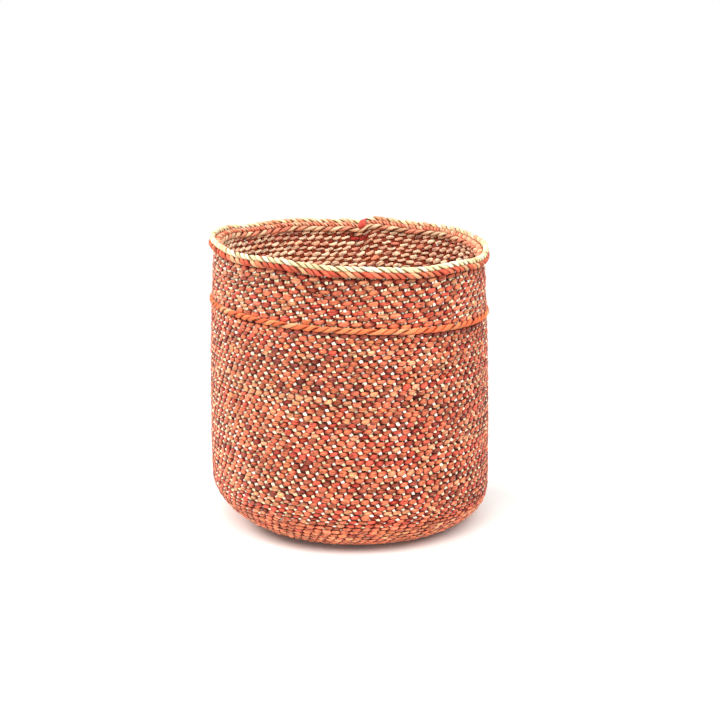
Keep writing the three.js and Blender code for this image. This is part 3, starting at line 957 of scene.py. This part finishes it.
def rim_splice():
    """A strand bound round the rim where its ropes meet, as one run: a flat helix about the rim's section."""
    steps = 16 * SPLICE_TURNS
    angle = np.linspace(0, SPLICE_TURNS * FULL_TURN, steps)[:, None]
    inner, outer = inner_ring[0] - SPLICE_INSET, outer_ring[1] - SPLICE_INSET
    low, high = outer_ring[2] - SPLICE_LOW, crest_ring[3] - CREST_DROP - SPLICE_TOP
    flat, wide = section(8, 0.8)
    pitch = SPLICE_WIDTH / SPLICE_TURNS
    radius = (inner + outer) / 2 + np.cos(angle) * ((outer - inner) / 2 - SPLICE_HALF + SPLICE_HALF * flat)
    height = (low + high) / 2 + np.sin(angle) * ((high - low) / 2 - SPLICE_HALF + SPLICE_HALF * flat)
    sideways = (angle / FULL_TURN / SPLICE_TURNS - 0.5) * SPLICE_WIDTH - wide * SPLICE_LAP * pitch
    points = by_hand(radius, SPLICE_TURN + sideways / outer, height)[None]
    grain = (angle * outer / SPLICE_TIMES / MM, wide, flat)
    # Painted shade on the side of the strand that lies against the rim
    return tube_run(points, False, linear(SPLICE_DYE), grain, (1 - flat) / 2)


ridge_rope = laid_rope(np.add(ridge_ring, RIDGE_FIT), RIDGE_LAYS, 1, RIDGE_ORANGES)
ridge_zone = wall_zone._replace(
    ways=np.array([ridge_way]),
    edges=np.array([ridge_way - ridge_half, ridge_way + ridge_half]),
    numbers=np.array([1]),
)
ridge_backing = twined_rounds(ridge_zone, reach_out=0.0)
new_piece("ridge_strands", [ridge_rope, ridge_backing], ridge_reed, ["ridge_cord"])

outer_rope = laid_rope(np.add(outer_ring, OUTER_FIT), RIM_LAYS, -1, RIM_CORALS)
new_piece("rim_outer_strands", [outer_rope], rim_reed, ["rim_outer_rope"])

crest = np.add(crest_ring, CREST_FIT)
crest_rope = laid_rope(crest, RIM_LAYS, -1, CREST_CREAMS, math.pi / 2, slack=0.95, behind=CREST_CORALS)
new_piece("rim_crest_strands", [crest_rope], crest_reed, ["rim_crest_rope"])

inner, outer, low, high = inner_ring
crest_low = crest_ring[2] - CREST_DROP
lower = np.add((inner, outer, low, low), LOWER_FIT)
lower_rope = laid_rope(lower, LOWER_LAYS, 1, LOWER_TANS, math.pi, corners=10, steps=16)
upper = np.add((inner, outer, low, crest_low), UPPER_FIT)
upper_rope = laid_rope(upper, UPPER_LAYS, -1, UPPER_CORALS, math.pi, corners=10, steps=8)
new_piece("rim_inner_strands", [lower_rope, upper_rope], rim_reed, ["rim_inner_rope"])

core = (*core_ring[:3], crest_low)
core_rope = laid_rope(core, CORE_LAYS, 1, CORE_TANS, plies=3, corners=8, steps=12, slack=1.3)
new_piece("rim_core_strands", [core_rope], natural_stake, ["rim_core"])

new_piece("rim_splice", [rim_splice()], rim_reed)


# Fibres that stand off the weave

STRAY_FIBRES = 90
FIBRE_STEPS = 9
FIBRE_REACH = (3.5 * MM, 8 * MM)
FIBRE_RISE = (0.5 * MM, 1.9 * MM)
FIBRE_HALF = 0.17 * MM
FIBRE_ROOT = 0.6 * MM
FIBRE_TOP = 6 * MM
FRAYED_ENDS = 5
FRAYED_TURN = math.radians(80)
FRAYED_ABOVE = 2.6 * MM
FRAYED_REACH = 3 * MM
FRAYED_RISE = 1.8 * MM
FRAYED_THICKER = 1.8


def stray_fibres():
    """Thin fibres that leave a strand and curl, as one run of open tubes. With s from 0 to 1 along one:
      way   = start + length (climb s + curl s^2)
      turn  = start + length (sqrt(1 - climb^2) s - curl s^2 / 2) / radius
      depth = FIBRE_ROOT inside the skin, rising as s^1.5 to the fibre's rise above it
    The last FRAYED_ENDS lie together at the right end of the ridge, where a strand stops."""
    count = STRAY_FIBRES + FRAYED_ENDS
    share = np.linspace(0, 1, FIBRE_STEPS)
    frayed = np.arange(count) >= STRAY_FIBRES
    way = np.where(frayed, ridge_way + FRAYED_ABOVE, rng.uniform(heel_way, neck_way - FIBRE_TOP, count))
    turn = np.where(frayed, FRAYED_TURN, rng.uniform(-math.pi, math.pi, count))
    reach = np.where(frayed, FRAYED_REACH, rng.uniform(*FIBRE_REACH, count)) * rng.choice([-1, 1], count)
    rise = np.where(frayed, FRAYED_RISE, rng.uniform(*FIBRE_RISE, count))
    climb = rng.uniform(-0.8, 0.8, count)
    curl = rng.uniform(-0.5, 0.5, count)
    along = np.sqrt(1 - climb**2)[:, None] * share - curl[:, None] * share**2 / 2
    way = way[:, None] + reach[:, None] * (climb[:, None] * share + curl[:, None] * share**2)
    turn = turn[:, None] + reach[:, None] * along / np.interp(way, OUT_WAY, OUT_RADIUS)
    depth = FIBRE_ROOT - (rise + FIBRE_ROOT)[:, None] * share**1.5
    half = FIBRE_HALF * (1 - 0.6 * share) * np.where(frayed, FRAYED_THICKER, 1)[:, None]
    out, side = section(5, 1.0)
    point_way = way[..., None] + side * half[..., None]
    point_turn = turn[..., None] + 0 * point_way
    points = on_wall(point_way, point_turn, depth[..., None] - out * half[..., None])
    flip = reach < 0
    points[flip] = points[flip, :, ::-1]
    colors = linear(PALE_REEDS + [PALE_TAN, DYES["tan"], DYES["coral"]])
    color = colors[rng.integers(len(colors), size=count)]
    grain = (point_turn * belly_radius / MM, 0.0, depth[..., None] / MM)
    return tube_run(points, False, color[:, None, None], grain, 0.0)


new_piece("stray_fibres", [stray_fibres()], natural_stake)


# Floor, light and camera

CAMERA_ELEVATION = math.radians(13.5)
CAMERA_DISTANCE = 1.211
CAMERA_SIDE = 0.0079
CAMERA_AIM_HEIGHT = 0.1256
CAMERA_LENS = 77
WHITE = (1, 1, 1, 1)
WORLD_LIGHT = 0.62
# Lamps, as (name, place, power, width)
LAMPS = [
    ("key", (-0.45, -0.85, 1.4), 17, 1.2),
    ("fill", (0.8, -0.75, 1.25), 16, 1.2),
    ("side", (-1.25, 0.55, 0.85), 15, 0.8),
]
LAMP_AIM_HEIGHT = 0.1
FLOOR_COLOR = (0.925, 0.955, 0.93, 1)
FLOOR_ROUGHNESS = 0.9
FLOOR_SPECULAR = 0.1
FLOOR_SPREAD = 1.6
FLOOR_FADE = (0.2, 0.6)
FLOOR_GLOW = 0.02


def white_to_the_camera(tree, plain, white):
    """Mixes two shaders: the white one is what the camera, glossy and see-through rays meet."""
    path = new_node(tree, "LightPath", {}).outputs
    seen = path["Is Camera Ray"]
    for ray in ("Is Glossy Ray", "Is Transmission Ray"):
        seen = new_node(tree, "Math", {0: seen, 1: path[ray]}, operation="MAXIMUM").outputs[0]
    return new_node(tree, "MixShader", {"Fac": seen, 1: plain, 2: white}).outputs[0]


def make_world():
    """Even soft light from all round, and a white backdrop."""
    world = bpy.data.worlds.new("studio")
    world.use_nodes = True
    tree = world.node_tree
    soft = feed(tree, tree.nodes["Background"], {"Color": WHITE, "Strength": WORLD_LIGHT})
    white = new_node(tree, "Background", {"Color": WHITE, "Strength": 1.0})
    backdrop = white_to_the_camera(tree, soft.outputs[0], white.outputs[0])
    feed(tree, tree.nodes["World Output"], {"Surface": backdrop})
    bpy.context.scene.world = world


def make_floor():
    """A pale floor that fades into the white backdrop away from the basket."""
    mesh = bpy.data.meshes.new("floor")
    side = FLOOR_SPREAD
    corners = [(-side, -side, 0), (side, -side, 0), (side, side, 0), (-side, side, 0)]
    mesh.from_pydata(corners, [], [(0, 1, 2, 3)])
    floor = new_object("floor", mesh)
    material = bpy.data.materials.new("pale_floor")
    material.use_nodes = True
    tree = material.node_tree
    settings = {"Base Color": FLOOR_COLOR, "Roughness": FLOOR_ROUGHNESS, "Specular IOR Level": FLOOR_SPECULAR}
    matt = feed(tree, tree.nodes["Principled BSDF"], settings).outputs[0]
    glow = new_node(tree, "Emission", {"Strength": FLOOR_GLOW}).outputs[0]
    lit = new_node(tree, "AddShader", {0: matt, 1: glow}).outputs[0]
    seen = white_to_the_camera(tree, matt, lit)
    place = new_node(tree, "TexCoord", {}).outputs["Object"]
    reach = new_node(tree, "VectorMath", {0: place}, operation="LENGTH").outputs["Value"]
    ends = {"Value": reach, "From Min": FLOOR_FADE[0], "From Max": FLOOR_FADE[1]}
    fade = new_node(tree, "MapRange", ends, interpolation_type="SMOOTHSTEP").outputs["Result"]
    clear = new_node(tree, "BsdfTransparent", {}).outputs[0]
    mix = new_node(tree, "MixShader", {"Fac": fade, 1: seen, 2: clear}).outputs[0]
    feed(tree, tree.nodes["Material Output"], {"Surface": mix})
    mesh.materials.append(material)


def make_lamp(name, place, power, size):
    """A large soft lamp that faces the basket."""
    lamp = bpy.data.lights.new(name, "AREA")
    lamp.shape = "DISK"
    lamp.size = size
    lamp.energy = power
    fixture = new_object(name, lamp)
    fixture.location = place
    aim = np.subtract((0, 0, LAMP_AIM_HEIGHT), place)
    level = math.hypot(aim[0], aim[1])
    fixture.rotation_euler = (math.atan2(level, -aim[2]), 0, math.atan2(-aim[0], aim[1]))


def make_camera():
    """A level camera that looks down on the basket from the front."""
    lens = bpy.data.cameras.new("camera")
    lens.lens = CAMERA_LENS
    camera = new_object("camera", lens)
    back = CAMERA_DISTANCE * math.cos(CAMERA_ELEVATION)
    rise = CAMERA_DISTANCE * math.sin(CAMERA_ELEVATION)
    camera.location = (CAMERA_SIDE, -back, CAMERA_AIM_HEIGHT + rise)
    camera.rotation_euler = (math.pi / 2 - CAMERA_ELEVATION, 0, 0)
    bpy.context.scene.camera = camera


make_world()
make_floor()
for lamp in LAMPS:
    make_lamp(*lamp)
make_camera()
bpy.context.scene.view_settings.view_transform = "Standard"
